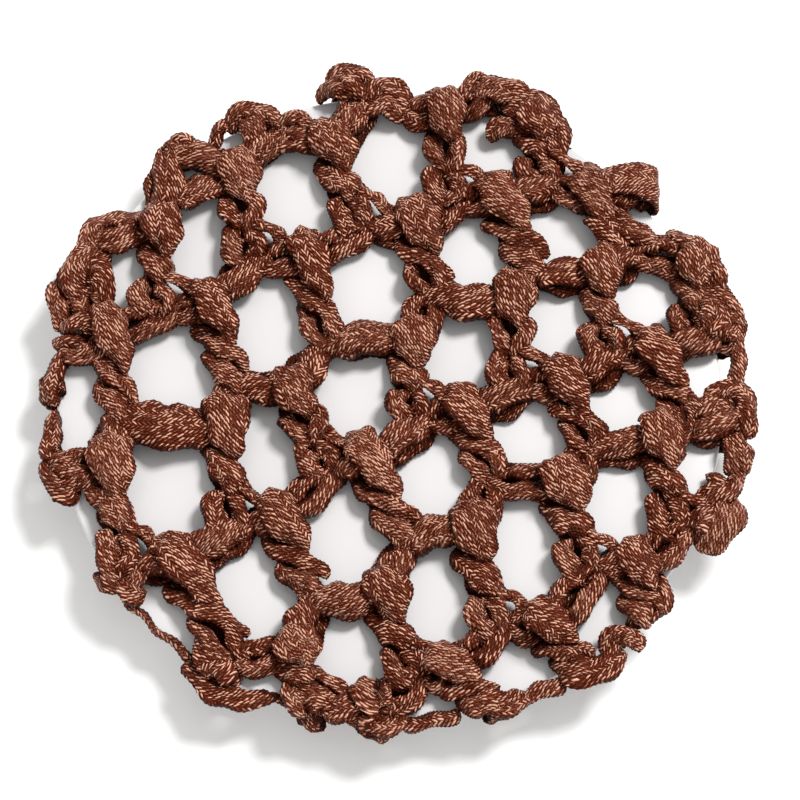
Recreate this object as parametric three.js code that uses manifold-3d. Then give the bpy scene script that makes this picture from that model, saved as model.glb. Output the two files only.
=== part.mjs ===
// Crochet hair snood, held open on a round display disc.
// Millimetres, +Z up. The part rests on the plane z = 0, with the middle of its box over the origin.

import * as THREE from "three";
import { mergeVertices } from "three/addons/utils/BufferGeometryUtils.js";
import Module from "manifold-3d";

const wasm = await Module();
wasm.setup();

// Display disc
const discRadius = 46;
const discThickness = 1.2;
const discEdgeRound = 0.4;

// Knitted tape that the net is crocheted from, as it lies in each part of a stitch
const domeWidth = 7.2;
const waistWidth = 5.4;
const footWidth = 6.2;
const postThickness = 2.4;
const chainWidth = 5.0;
const chainThickness = 2.3;
const footLift = 0.5;
const domeSlack = 0.5;

// Last round of the net, which wraps over the rim and grips the elastic
const wrapThickness = 1.6;
const edgeRoundWidth = 3.6;
const edgeRoundHeight = 2.5;

// Elastic of the mouth, flat where it rests
const elasticRadius = 36;
const elasticWidth = 3.0;
const elasticHeight = 2.0;

// Space left between pieces that touch
const fitGap = 0.3;

// Slivers under this many cubic millimetres are trimmed off where one tape is cut clear of another
const sliverVolume = 0.5;

// Facets round each shape
const discSegments = 48;
const ringSegments = 30;
const postSides = 6;
const postSteps = 5;
const chainStepsPerLink = 2;
const flatSides = 4;
const rimStrandStep = 10;

// Levels from the surface up
const edgeRoundBase = elasticHeight + fitGap;
const discBase = edgeRoundBase + edgeRoundHeight + fitGap;
const discTop = discBase + discThickness;
const netBase = discTop + fitGap;
const hookedChainLevel = netBase + chainThickness / 2;
const domeLevel = netBase + chainThickness + fitGap + domeSlack + postThickness / 2;
const footLevel = netBase + footLift + postThickness / 2;

// Stitch chart, read off the net as it lies on the disc, in hundredths of the disc's radius.
// tops are where the stitches of a row hook over the chain before, feet where they meet their own
// chain, and from and to are the knots at the rim where that chain begins and ends.
const stitchChart = [
  {
    name: "top_edge_chain",
    tops: [],
    feet: [[-66, 79], [-31, 85], [-7, 95], [6, 92], [33, 100]],
    from: [-88, 54],
    to: [52, 92],
  },
  {
    name: "net_row_1",
    tops: [[-69, 55], [-46, 73], [-18, 83], [17, 93], [45, 90]],
    feet: [[-64, 33], [-37, 50], [-5, 60], [24, 69], [52, 74]],
    from: [-94, 35],
    to: [76, 70],
  },
  {
    name: "net_row_2",
    tops: [[-84, 22], [-54, 30], [-25, 46], [8, 57], [33, 65], [63, 65]],
    feet: [[-81, -6], [-47, 4], [-19, 17], [13, 34], [44, 41], [75, 49]],
    from: [-99, -26],
    to: [99, 46],
  },
  {
    name: "net_row_3",
    tops: [[-85, -20], [-49, -7], [-29, 2], [7, 18], [38, 33], [64, 41], [93, 43]],
    feet: [[-75, -48], [-41, -36], [-15, -19], [13, -2], [43, 9], [71, 19], [90, 24]],
    from: [-84, -57],
    to: [104, 22],
  },
  {
    name: "net_row_4",
    tops: [[-63, -51], [-33, -38], [-7, -19], [24, -4], [54, 5], [81, 14]],
    feet: [[-46, -82], [-23, -62], [5, -46], [32, -25], [62, -16], [90, -9]],
    from: [-53, -88],
    to: [106, -7],
  },
  {
    name: "net_row_5",
    tops: [[-27, -80], [-1, -62], [26, -41], [53, -27], [83, -12]],
    feet: [[-18, -99], [11, -84], [36, -68], [63, -50], [90, -37]],
    from: [-24, -102],
    to: [101, -38],
  },
  {
    name: "net_row_6",
    tops: [[-4, -98], [19, -85], [48, -72], [75, -53]],
    feet: [[-3, -105], [33, -98], [60, -87], [78, -68]],
    from: [-10, -104],
    to: [88, -56],
  },
];

// Where the last round wraps over the rim: turn from +X, reach as a share of the disc's radius,
// and width as a share of the chain's width
const rimWraps = [
  { turn: 11, reach: 1.07, width: 1.0 },
  { turn: 25, reach: 1.06, width: 1.3 },
  { turn: 43, reach: 1.05, width: 1.2 },
  { turn: 62, reach: 1.05, width: 1.3 },
  { turn: 72, reach: 1.07, width: 0.9 },
  { turn: 82, reach: 1.05, width: 0.8 },
  { turn: 97, reach: 1.06, width: 1.2 },
  { turn: 115, reach: 1.05, width: 1.1 },
  { turn: 130, reach: 1.06, width: 1.2 },
  { turn: 147, reach: 1.05, width: 1.1 },
  { turn: 160, reach: 1.06, width: 1.1 },
  { turn: 178, reach: 1.06, width: 1.2 },
  { turn: 195, reach: 1.06, width: 1.2 },
  { turn: 214, reach: 1.05, width: 0.9 },
  { turn: 239, reach: 1.05, width: 1.1 },
  { turn: 257, reach: 1.06, width: 1.0 },
  { turn: 268, reach: 1.07, width: 1.0 },
  { turn: 288, reach: 1.06, width: 1.0 },
  { turn: 304, reach: 1.06, width: 1.1 },
  { turn: 320, reach: 1.06, width: 1.0 },
  { turn: 338, reach: 1.08, width: 1.4 },
  { turn: 354, reach: 1.08, width: 1.1 },
];

// Stretches of the last round that lie along the outside of the rim, in degrees from +X
const rimStrands = [
  { fromTurn: 160, toTurn: 196, reach: 1.045, width: 0.6 },
  { fromTurn: 213, toTurn: 240, reach: 1.03, width: 0.35 },
  { fromTurn: 238, toTurn: 266, reach: 1.045, width: 0.6 },
  { fromTurn: 337, toTurn: 385, reach: 1.06, width: 0.8 },
];

// Widths along a stitch, from the tip behind the chain to the end of the foot
const postWidths = [0.5 * domeWidth, 0.9 * domeWidth, domeWidth, waistWidth, footWidth, 0.6 * footWidth];

const yarn = new THREE.MeshStandardMaterial({ color: 0x7a432e, roughness: 0.62, metalness: 0 });
const whitePlastic = new THREE.MeshStandardMaterial({ color: 0xf2f1ef, roughness: 0.12, metalness: 0 });
const elasticCloth = new THREE.MeshStandardMaterial({ color: 0x3a241c, roughness: 0.85, metalness: 0 });

const up = new THREE.Vector3(0, 0, 1);

function chartPoint([x, y], z) {
  return new THREE.Vector3((x / 100) * discRadius, (y / 100) * discRadius, z);
}

// Value at a share of the way through a list of evenly spaced values
function valueAlong(values, share) {
  const place = share * (values.length - 1);
  const index = Math.min(Math.floor(place), values.length - 2);
  return THREE.MathUtils.lerp(values[index], values[index + 1], place - index);
}

// Closed length of tape: a cylinder bent along a smooth curve. Its section is flat above and below,
// a rectangle with 4 sides and rounded with 6, and as wide as its place along the curve asks for.
// fixedSide keeps the tape's width level in a hook.
function tapeSolid({ points, widths, thickness, sides, steps, fixedSide }) {
  const curve = new THREE.CatmullRomCurve3(points, false, "centripetal");
  const flatTurn = Math.PI / sides;
  const tallness = 1 / Math.cos(flatTurn);
  const breadth = sides === 4 ? tallness : 1;
  const geometry = new THREE.CylinderGeometry(1, 1, 1, sides, steps, false, flatTurn);
  const position = geometry.attributes.position;
  for (let i = 0; i < position.count; i += 1) {
    const share = position.getY(i) + 0.5;
    const centre = curve.getPoint(share);
    const along = curve.getTangent(share);
    const side = fixedSide ? fixedSide.clone() : along.clone().cross(up).normalize();
    const rise = side.clone().cross(along).normalize();
    centre.addScaledVector(side, position.getX(i) * breadth * valueAlong(widths, share) / 2);
    centre.addScaledVector(rise, position.getZ(i) * tallness * thickness / 2);
    position.setXYZ(i, centre.x, centre.y, centre.z);
  }
  return toSolid(geometry);
}

function toSolid(geometry) {
  geometry.deleteAttribute("normal");
  geometry.deleteAttribute("uv");
  const merged = mergeVertices(geometry, 1e-4);
  const vertProperties = new Float32Array(merged.attributes.position.array);
  const triVerts = new Uint32Array(merged.index.array);
  return new wasm.Manifold(new wasm.Mesh({ numProp: 3, vertProperties, triVerts }));
}

function toGeometry(solid) {
  const mesh = solid.getMesh();
  const geometry = new THREE.BufferGeometry();
  geometry.setAttribute("position", new THREE.BufferAttribute(mesh.vertProperties, 3));
  geometry.setIndex(new THREE.BufferAttribute(mesh.triVerts, 1));
  return geometry;
}

function joined(solids) {
  return solids.reduce((whole, solid) => whole.add(solid));
}

// A piece cut clear of another, without the slivers that such a cut leaves
function cutClear(solid, cutters) {
  const cut = cutters.reduce((rest, cutter) => rest.subtract(cutter), solid);
  return joined(cut.decompose().filter((body) => Math.abs(body.volume()) > sliverVolume));
}

// One tall stitch: its tape comes up behind the chain, over it as a broad dome, and down to the foot
function postSolid(top, foot, sides, extra) {
  const start = chartPoint(top, 0);
  const run = chartPoint(foot, 0).sub(start);
  const length = run.length();
  const downRow = run.clone().normalize();
  const at = (distance, level) => start.clone().addScaledVector(downRow, distance).setZ(level);
  const behind = chainWidth / 2 + fitGap + postThickness / 2;
  const points = [
    at(-behind, netBase + postThickness / 2),
    at(-0.75 * behind, domeLevel - 0.35 * postThickness),
    at(0.22 * length, domeLevel),
    at(0.6 * length, (domeLevel + footLevel) / 2),
    at(0.95 * length, footLevel),
    at(length + 0.3 * footWidth, footLevel),
  ];
  return tapeSolid({
    points,
    widths: postWidths.map((width) => width + extra),
    thickness: postThickness + extra,
    sides,
    steps: postSteps,
    fixedSide: downRow.clone().cross(up),
  });
}

// The zigzag chain below a row: through that row's feet and under the next row's tops
function chainSolid(row, nextTops, extra) {
  const stops = [
    ...row.feet.map((place) => ({ place, level: footLevel })),
    ...nextTops.map((place) => ({ place, level: hookedChainLevel })),
  ].sort((a, b) => a.place[0] - b.place[0]);
  const points = [
    chartPoint(row.from, footLevel),
    ...stops.map(({ place, level }) => chartPoint(place, level)),
    chartPoint(row.to, footLevel),
  ];
  return tapeSolid({
    points,
    widths: points.map(() => chainWidth + extra),
    thickness: chainThickness + extra,
    sides: flatSides,
    steps: chainStepsPerLink * (points.length - 1),
  });
}

function rowSolid(index, sides, extra) {
  const row = stitchChart[index];
  const nextTops = index + 1 < stitchChart.length ? stitchChart[index + 1].tops : [];
  const posts = row.tops.map((top, i) => postSolid(top, row.feet[i], sides, extra));
  return joined([chainSolid(row, nextTops, extra), ...posts]);
}

// The space that a row takes up with a clearance all round, to cut its neighbours clear of it
function rowCutter(index) {
  return rowSolid(index, flatSides, 2 * fitGap);
}

// A loop of the last round, from the net's edge out over the rim and in to the elastic
function wrapSolid({ turn, reach, width }, extra) {
  const angle = THREE.MathUtils.degToRad(turn);
  const outward = new THREE.Vector3(Math.cos(angle), Math.sin(angle), 0);
  const at = (radius, level) => outward.clone().multiplyScalar(radius).setZ(level);
  const outer = Math.max(reach * discRadius, discRadius + fitGap + wrapThickness);
  const points = [
    at(discRadius - 1.2 * wrapThickness, netBase + wrapThickness / 2),
    at(discRadius + fitGap, netBase + wrapThickness / 2),
    at(outer - wrapThickness / 2, discTop),
    at(outer - wrapThickness / 2, discBase),
    at(discRadius - fitGap, discBase - fitGap - wrapThickness / 2),
    at(elasticRadius, edgeRoundBase + edgeRoundHeight / 2),
  ];
  return tapeSolid({
    points,
    widths: points.map(() => width * chainWidth + extra),
    thickness: wrapThickness + extra,
    sides: flatSides,
    steps: points.length - 1,
    fixedSide: outward.clone().cross(up),
  });
}

// A stretch of the last round beside the rim, level with the disc's face
function rimStrandSolid({ fromTurn, toTurn, reach, width }, extra) {
  const tapeWidth = width * chainWidth;
  const radius = Math.max(reach * discRadius, discRadius + fitGap + tapeWidth / 2);
  const steps = Math.ceil((toTurn - fromTurn) / rimStrandStep);
  const points = [];
  for (let i = 0; i <= steps; i += 1) {
    const angle = THREE.MathUtils.degToRad(fromTurn + ((toTurn - fromTurn) * i) / steps);
    points.push(new THREE.Vector3(radius * Math.cos(angle), radius * Math.sin(angle), discTop));
  }
  return tapeSolid({
    points,
    widths: points.map(() => tapeWidth + extra),
    thickness: wrapThickness + extra,
    sides: flatSides,
    steps,
  });
}

// Flat ring turned from a closed section
function ringGeometry(radius, width, base, height) {
  const section = [
    new THREE.Vector2(radius - width / 2, base),
    new THREE.Vector2(radius + width / 2, base),
    new THREE.Vector2(radius + width / 2, base + height),
    new THREE.Vector2(radius - width / 2, base + height),
    new THREE.Vector2(radius - width / 2, base),
  ];
  return new THREE.LatheGeometry(section, ringSegments).rotateX(Math.PI / 2);
}

function discGeometry(margin) {
  const rim = discRadius + margin;
  const base = discBase - margin;
  const top = discTop + margin;
  const section = [
    new THREE.Vector2(0, base),
    new THREE.Vector2(rim - discEdgeRound, base),
    new THREE.Vector2(rim, base + discEdgeRound),
    new THREE.Vector2(rim, top - discEdgeRound),
    new THREE.Vector2(rim - discEdgeRound, top),
    new THREE.Vector2(0, top),
  ];
  return new THREE.LatheGeometry(section, discSegments).rotateX(Math.PI / 2);
}

function namedMesh(name, geometry, material) {
  const mesh = new THREE.Mesh(geometry, material);
  mesh.name = name;
  return mesh;
}

const snood = new THREE.Group();
snood.add(namedMesh("display_disc", discGeometry(0), whitePlastic));
snood.add(namedMesh("elastic_band",
  ringGeometry(elasticRadius, elasticWidth, 0, elasticHeight), elasticCloth));

// Each row is cut clear of the row that it hooks over
stitchChart.forEach((row, index) => {
  const cutters = index > 0 ? [rowCutter(index - 1)] : [];
  const solid = cutClear(rowSolid(index, postSides, 0), cutters);
  snood.add(namedMesh(row.name, toGeometry(solid), yarn));
});

// The last round is cut clear of the disc and of every row that it meets at the rim
const edgeRound = toSolid(ringGeometry(elasticRadius, edgeRoundWidth, edgeRoundBase, edgeRoundHeight));
const wraps = rimWraps.map((wrap) => wrapSolid(wrap, 0));
const strands = rimStrands.map((strand) => rimStrandSolid(strand, 0));
const lastRound = cutClear(
  joined([edgeRound, ...wraps, ...strands]),
  [toSolid(discGeometry(fitGap)), ...stitchChart.map((row, index) => rowCutter(index))],
);
snood.add(namedMesh("gathered_edge", toGeometry(lastRound), yarn));

// The net isn't quite round, so the disc stands a little off the middle of the whole
const middle = new THREE.Box3().setFromObject(snood).getCenter(new THREE.Vector3());
snood.position.set(-middle.x, -middle.y, 0);

export default snood;
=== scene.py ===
import math
import random

import bpy
import numpy as np
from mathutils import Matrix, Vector


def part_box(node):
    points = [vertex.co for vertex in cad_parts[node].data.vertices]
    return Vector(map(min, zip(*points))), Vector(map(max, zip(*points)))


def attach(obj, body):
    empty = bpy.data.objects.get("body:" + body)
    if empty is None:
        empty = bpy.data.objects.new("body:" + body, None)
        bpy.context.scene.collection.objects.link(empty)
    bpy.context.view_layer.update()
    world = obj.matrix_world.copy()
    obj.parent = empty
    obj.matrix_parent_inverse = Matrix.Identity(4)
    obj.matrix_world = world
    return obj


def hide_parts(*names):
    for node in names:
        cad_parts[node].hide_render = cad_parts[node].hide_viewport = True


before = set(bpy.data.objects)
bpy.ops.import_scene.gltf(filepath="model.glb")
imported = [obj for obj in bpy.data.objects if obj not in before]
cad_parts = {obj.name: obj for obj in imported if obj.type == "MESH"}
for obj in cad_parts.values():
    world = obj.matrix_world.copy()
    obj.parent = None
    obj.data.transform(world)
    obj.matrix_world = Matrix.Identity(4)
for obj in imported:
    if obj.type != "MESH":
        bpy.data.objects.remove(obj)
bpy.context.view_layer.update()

mm = 0.001  # lengths are in millimetres until a mesh is made, apart from the studio's, which are in metres

discLow, discHigh = (Vector(corner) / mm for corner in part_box("display_disc"))
bandLow, bandHigh = (Vector(corner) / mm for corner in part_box("elastic_band"))
edgeLow = Vector(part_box("gathered_edge")[0]) / mm
discCentre = (discLow + discHigh) / 2
discRadius = (discHigh.x - discLow.x) / 2
discTop = discHigh.z
discBase = discLow.z
bandRadius = (bandHigh.x - bandLow.x) / 2
rng = random.Random(11)

# The stitch chart, in hundredths of the disc's radius: that of the part's source, with some places moved by
# up to 4 mm to lie closer to the real net
# (front: whether the tall stitches show their front; tops and feet: of those stitches; from and to: the
# chain's ends; drop: how far below the feet the chain runs; widths: of the tall stitches, both in millimetres;
# openLinks and openPosts: chain links and tall stitches that the charted edge tapes take the place of)
stitchChart = {
    "top_edge_chain": {
        "front": False,
        "tops": [],
        "feet": [(-66, 79), (-31, 85), (-7, 95), (6, 92), (33, 100)],
        "drop": -0.8,
        "widths": [],
        "from": (-88, 54), "to": (52, 92),
    },
    "net_row_1": {
        "front": True,
        "tops": [(-69, 55), (-46, 73), (-18, 83), (17, 93), (45, 90)],
        "feet": [(-64, 33), (-37, 50), (-5, 60), (24, 69), (52, 74)],
        "drop": 2.5,
        "widths": [5.8, 6.2, 6.2, 5.6, 5.4],
        "from": (-94, 35), "to": (76, 70),
    },
    "net_row_2": {
        "front": False,
        "tops": [(-84, 22), (-54, 30), (-25, 46), (8, 57), (33, 65), (63, 65)],
        "feet": [(-81, -6), (-47, 4), (-19, 17), (13, 34), (44, 41), (75, 49)],
        "drop": 0.6,
        "openPosts": [5],
        "widths": [5.6, 5.4, 5.6, 6.4, 6.0, 5.6],
        "from": (-99, -26), "to": (99, 46),
    },
    "net_row_3": {
        "front": True,
        "tops": [(-83, -20), (-49, -7), (-29, 2), (7, 18), (38, 33), (64, 41), (93, 43)],
        "feet": [(-73.5, -48), (-41, -36), (-15, -19), (13, -2), (43, 9), (71, 19), (98, 24)],
        "drop": 2.5,
        "widths": [6.6, 6.2, 6.0, 6.6, 6.2, 5.6, 5.6],
        "from": (-80, -57), "to": (104, 22),
    },
    "net_row_4": {
        "front": False,
        "tops": [(-63, -51), (-33, -38), (-7, -19), (22.5, -4), (52.5, 5), (80, 14)],
        "feet": [(-46, -82), (-23, -62), (5, -46), (30, -25), (60, -16), (90, -9)],
        "drop": 0.8,
        "widths": [6.4, 6.0, 5.8, 5.8, 5.8, 5.6],
        "from": (-53, -88), "to": (106, -7),
    },
    "net_row_5": {
        "front": True,
        "tops": [(-27, -80), (-1, -62), (25, -41), (52, -27), (81.5, -12)],
        "feet": [(-18, -94), (11, -84), (36, -68), (63, -50), (90, -37)],
        "drop": 2.1,
        "widths": [6.4, 6.4, 6.6, 7.0, 6.2],
        "from": (-24, -94), "to": (98, -38),
    },
    "net_row_6": {
        "front": False,
        "tops": [(-4, -96.5), (17, -85), (46, -72), (73.5, -53)],
        "feet": [(-2, -100), (29, -98), (57, -87), (75, -70)],
        "drop": -0.6,
        "openLinks": [1, 2, 3, 4],
        "widths": [6.0, 5.8, 5.8, 5.8],
        "from": (-10, -100), "to": (82, -62),
    },
}


def chartPoint(place, height):
    # height is above the disc's face
    x, y = place
    return Vector((discCentre.x + x / 100 * discRadius, discCentre.y + y / 100 * discRadius,
                   discTop + height))


# Tape: a length of flattened knitted tube

tapeLook = {
    "sides": 18,
    "rings": 40,
    "shortRings": 24,
    "shortLength": 7.0,   # tapes under this take the short blank
    "squareness": 0.62,   # under 1 the flattened tube keeps fuller edges
    "endTaper": 0.45,     # how much of its width a tape loses at its ends
    "taperLength": 0.6,
    "thick": 0.68,        # how full the tapes are
    "twist": 12,          # how far a tape turns about its own length, either way
    "foldDepth": 0.24,    # soft folds along the tape
    "foldPitch": 2.6,
    "foldSlant": 0.25,    # how far the folds run across the tape as they run along it
    "crumple": 0.22,      # slow unevenness of the whole tape
    "crumplePitch": 3.4,
    "sway": 1.2,          # how much of the crumple goes sideways, against up and down
    "loopEdge": 0.07,     # the small loops of the knitting along both edges
    "underShade": 0.20,   # painted shade: how much darker the underside of a tape is painted
    "edgeLight": 0.2,     # share of the upper side's painted light that the tape's edges get
    "edgeSharp": 1.2,     # how quickly the painted light grows from the edges up
    "deepShade": 0.36,    # painted shade: how much darker the tapes are painted down at the disc's face
    "shadeRise": 4.2,     # how high over it they are at full colour
}


def makeTapeBlank(rings):
    # A cylinder of unit size, cut into rings along its length; every tape is a blank bent along its route
    bpy.ops.object.select_all(action="DESELECT")
    bpy.ops.mesh.primitive_cylinder_add(vertices=tapeLook["sides"], radius=1, depth=1, location=(0, 0, 0.5))
    blank = bpy.context.object
    bpy.ops.object.transform_apply(location=True)
    bpy.ops.object.mode_set(mode="EDIT")
    bpy.ops.mesh.select_mode(type="EDGE")
    bpy.ops.mesh.select_all(action="DESELECT")
    bpy.ops.object.mode_set(mode="OBJECT")
    points = blank.data.vertices
    for edge in blank.data.edges:
        low, high = (points[i].co.z for i in edge.vertices)
        edge.select = abs(high - low) > 0.5
    bpy.ops.object.mode_set(mode="EDIT")
    bpy.ops.mesh.subdivide(number_cuts=rings - 2)
    bpy.ops.object.mode_set(mode="OBJECT")
    made = {
        "points": np.array([v.co[:] for v in blank.data.vertices]),
        "faces": [tuple(p.vertices) for p in blank.data.polygons],
        "rings": rings,
    }
    bpy.data.objects.remove(blank)
    return made


def smoothPath(values, shares):
    # Catmull-Rom curve through the values, at the given shares of the way from first to last
    values = np.asarray(values, float)
    count = len(values)
    place = np.clip(shares * (count - 1), 0, count - 1 - 1e-9)
    i = place.astype(int)
    t = (place - i).reshape(-1, *([1] * (values.ndim - 1)))
    before, start = values[np.maximum(i - 1, 0)], values[i]
    end, after = values[i + 1], values[np.minimum(i + 2, count - 1)]
    return 0.5 * (2 * start + (end - before) * t + (2 * before - 5 * start + 4 * end - after) * t ** 2
                  + (3 * start - before - 3 * end + after) * t ** 3)


def unit(vectors):
    return vectors / np.maximum(np.linalg.norm(vectors, axis=-1, keepdims=True), 1e-9)


class TapePiece:
    # Collects the tapes of one piece of the net, then makes them one mesh

    def __init__(self, name):
        self.name = name
        self.points, self.faces = [], []
        self.across, self.along, self.tone, self.shade = [], [], [], []
        self.count = 0

    def lay(self, route, widths, thicks, cup=0.3, rolls=0.0, side=None, crumple=1.0):
        # route: points in millimetres; cup: how far the tape's edges bend down
        # rolls: degrees that it is turned about its own length
        # side: level direction to keep across the tape where it hooks
        # crumple: 1 for a loosely twisted tape, less for one that lies flat
        route = np.array([tuple(p) for p in route])
        length = float(np.linalg.norm(np.diff(route, axis=0), axis=1).sum())
        blank = longBlank if length > tapeLook["shortLength"] else shortBlank
        share = blank["points"][:, 2]
        turn = np.arctan2(blank["points"][:, 1], blank["points"][:, 0])
        inner = np.hypot(blank["points"][:, 0], blank["points"][:, 1])
        centre = smoothPath(route, share)
        step = 0.004
        ahead, behind = np.clip(share + step, 0, 1), np.clip(share - step, 0, 1)
        forward = unit(smoothPath(route, ahead) - smoothPath(route, behind))
        up = np.array([0, 0, 1.0])
        if side is None:
            across = unit(np.cross(forward, up))
        else:
            across = np.array(tuple(side))[None, :]
            across = unit(across - forward * (forward * across).sum(1, keepdims=True))
        rise = np.cross(across, forward)
        twist = np.broadcast_to(np.asarray(rolls, float), len(route))
        twist = twist + np.array([rng.uniform(-1, 1) * tapeLook["twist"] * crumple for _ in route])
        roll = np.radians(smoothPath(twist, share))[:, None]
        across, rise = (across * np.cos(roll) + rise * np.sin(roll),
                        rise * np.cos(roll) - across * np.sin(roll))
        width = smoothPath(np.broadcast_to(np.asarray(widths, float), len(route)), share)
        thick = smoothPath(np.broadcast_to(np.asarray(thicks, float), len(route)), share) * tapeLook["thick"]
        fromEnd = np.minimum(share, 1 - share) * length
        taper = 1 - tapeLook["endTaper"] * np.exp(-(fromEnd / tapeLook["taperLength"]) ** 2)
        phase = [rng.uniform(0, math.tau) for _ in range(6)]
        x = np.cos(turn) * inner * width / 2 * taper
        sine = np.sin(turn)
        z = np.sign(sine) * np.abs(sine) ** tapeLook["squareness"] * inner * thick / 2 * taper
        far = share * length
        fold = tapeLook["foldDepth"] * crumple
        foldPlace = (x + tapeLook["foldSlant"] * far) / tapeLook["foldPitch"]
        z += fold * np.sin(math.tau * foldPlace + phase[0]) * np.sign(sine)
        z -= cup * (2 * x / np.maximum(width, 0.1)) ** 2
        slow = math.tau / tapeLook["crumplePitch"]
        amount = tapeLook["crumple"] * crumple
        z += amount * np.sin(slow * far + phase[1]) * np.cos(slow * 0.8 * x + phase[2])
        x += amount * tapeLook["sway"] * np.sin(slow * 0.7 * far + phase[3])
        edge = np.abs(np.cos(turn)) ** 6
        odd = np.where(np.round(share * (blank["rings"] - 1)) % 2 > 0.5, 1.0, -1.0)
        x += np.sign(np.cos(turn)) * edge * odd * tapeLook["loopEdge"] * inner
        points = centre + across * x[:, None] + rise * z[:, None]
        self.points.append(points)
        self.faces += [tuple(i + self.count for i in face) for face in blank["faces"]]
        self.across.append(x + 40.0)
        self.along.append(far + rng.uniform(0, 50))
        self.tone.append(np.full(len(points), rng.random()))
        # Painted shade: the underside and the edges of each tape are painted darker than its top
        upper = np.clip(sine * tapeLook["edgeSharp"] + tapeLook["edgeLight"], 0, 1)
        self.shade.append(tapeLook["underShade"] + (1 - tapeLook["underShade"]) * upper)
        self.count += len(points)

    def finish(self, nodes, slot, material, hollows):
        points = np.vstack(self.points)
        mesh = bpy.data.meshes.new(self.name)
        mesh.from_pydata((points * mm).tolist(), [], self.faces)
        # Painted shade: the tapes are painted darker down at the disc's face and in the hollows below higher
        # tapes; under the disc only the painted shade of their undersides stays
        reach = np.hypot(points[:, 0] - discCentre.x, points[:, 1] - discCentre.y) / discRadius
        shade = np.clip(tapeLook["deepShade"] + (points[:, 2] - discTop) / tapeLook["shadeRise"], 0, 1)
        shade = np.where(reach < 1, shade, 1.0) * hollows.shadeAt(points)
        shade = np.where(points[:, 2] < discBase, 1.0, shade) * np.concatenate(self.shade)
        measures = {
            "tapeAcross": np.concatenate(self.across),
            "tapeAlong": np.concatenate(self.along),
            "tapeTone": np.concatenate(self.tone),
            "tapeShade": shade,
        }
        for label, values in measures.items():
            mesh.attributes.new(label, "FLOAT", "POINT").data.foreach_set("value", values)
        piece = bpy.data.objects.new(self.name, mesh)
        bpy.context.collection.objects.link(piece)
        bpy.ops.object.select_all(action="DESELECT")
        bpy.context.view_layer.objects.active = piece
        piece.select_set(True)
        bpy.ops.object.mode_set(mode="EDIT")
        bpy.ops.mesh.select_all(action="SELECT")
        bpy.ops.mesh.normals_make_consistent(inside=False)
        bpy.ops.object.mode_set(mode="OBJECT")
        bpy.ops.object.shade_smooth()
        mesh.materials.append(material)
        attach(piece, "root")
        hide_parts(*nodes)
        print(self.name, "triangles", sum(len(p.vertices) - 2 for p in mesh.polygons))


hollowLook = {
    "square": 0.4,          # the heights of the net are gathered in squares of this size
    "reach": 1.6,           # how far around a point they count
    "free": 0.55,           # points this much higher than their surroundings get no painted shade
    "perMillimetre": 0.38,  # how much darker a point is painted for each millimetre further down
    "darkest": 0.20,
}


class Hollows:
    # Painted shade: where the net lies lower than the tapes around it, and so in their shade, it is painted
    # darker

    def __init__(self, points):
        square = hollowLook["square"]
        steps = int(hollowLook["reach"] / square)
        self.origin = points[:, :2].min(0) - square * (steps + 1)
        squares = self.squares(points)
        size = squares.max(0) + steps + 2
        x, y = (self.origin[i] + square * np.arange(size[i]) for i in (0, 1))
        reach = np.hypot(x[:, None] - discCentre.x, y[None, :] - discCentre.y)
        heights = np.where(reach < discRadius, discTop, 0.0)
        np.maximum.at(heights, (squares[:, 0], squares[:, 1]), points[:, 2])
        near = [(i, j) for i in range(-steps, steps + 1) for j in range(-steps, steps + 1)
                if math.hypot(i, j) <= steps]
        self.heights = sum(np.roll(heights, step, (0, 1)) for step in near) / len(near)

    def squares(self, points):
        return ((points[:, :2] - self.origin) / hollowLook["square"]).astype(int)

    def shadeAt(self, points):
        squares = self.squares(points)
        depth = self.heights[squares[:, 0], squares[:, 1]] - points[:, 2]
        light = 1 - hollowLook["perMillimetre"] * (depth + hollowLook["free"])
        return np.clip(light, hollowLook["darkest"], 1)


longBlank = makeTapeBlank(tapeLook["rings"])
shortBlank = makeTapeBlank(tapeLook["shortRings"])
print("tape blanks ready")


# Materials

def newMaterial(name):
    material = bpy.data.materials.new(name)
    material.use_nodes = True
    nodes, links = material.node_tree.nodes, material.node_tree.links
    return material, nodes, links, nodes["Principled BSDF"]


def mathNode(nodes, links, operation, *inputs):
    node = nodes.new("ShaderNodeMath")
    node.operation = operation
    for i, value in enumerate(inputs):
        if isinstance(value, (int, float)):
            node.inputs[i].default_value = value
        else:
            links.new(value, node.inputs[i])
    return node.outputs[0]


yarnLook = {
    "columnPitch": 0.45,   # width of one column of slanting knitted legs
    "rowPitch": 0.63,      # from one leg to the next along the tape
    "slant": 0.84,         # how far a leg leans, in rows
    "shift": 1.00,         # how far each column sits out of step with the next, in rows
    "leftLeaning": 0.88,   # share of the columns whose legs lean to the left
    "legSharp": 3.3,       # how narrow the painted lit line along a leg is
    "legEnds": 1.1,        # how much a leg fades towards its ends
    "legClear": 0.07,      # how far its ends stay clear of the next column, as a share of the column
    "legLight": 0.36,      # brightness of the dullest leg
    "gapLight": 0.15,      # brightness between the legs, in the painted shade of the gaps
    "glint": 2.70,         # painted glints: how much brighter than the dullest leg the brightest one is
    "glintRare": 2.4,      # the higher, the fewer bright legs
    "shades": [            # from painted shade in the deepest gaps, through the yarn's own brown, to painted highlights on the crests of the brightest legs
        (0.02, (0.016, 0.003, 0.0015)),
        (0.18, (0.060, 0.009, 0.0035)),
        (0.46, (0.235, 0.045, 0.019)),
        (0.70, (0.54, 0.180, 0.100)),
        (0.90, (1.0, 0.565, 0.395)),
    ],
    "tapeTones": 0.22,     # how much whole tapes differ in brightness
    "middleTone": 0.45,    # a tape of this tone, from 0 to 1, keeps its brightness
    "warp": 0.60,          # how far the rows of stitches stray, in stitches
    "warpPitch": 1.3,
    "fleck": 1.9,          # painted sheen of the fibres, uneven down to part of a leg
    "fleckPitch": 0.36,
    "bumpHeight": 0.30,
    "roughness": 0.40,
    "specular": 0.12,
    "specularTint": (1.0, 0.55, 0.38),
}


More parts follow.
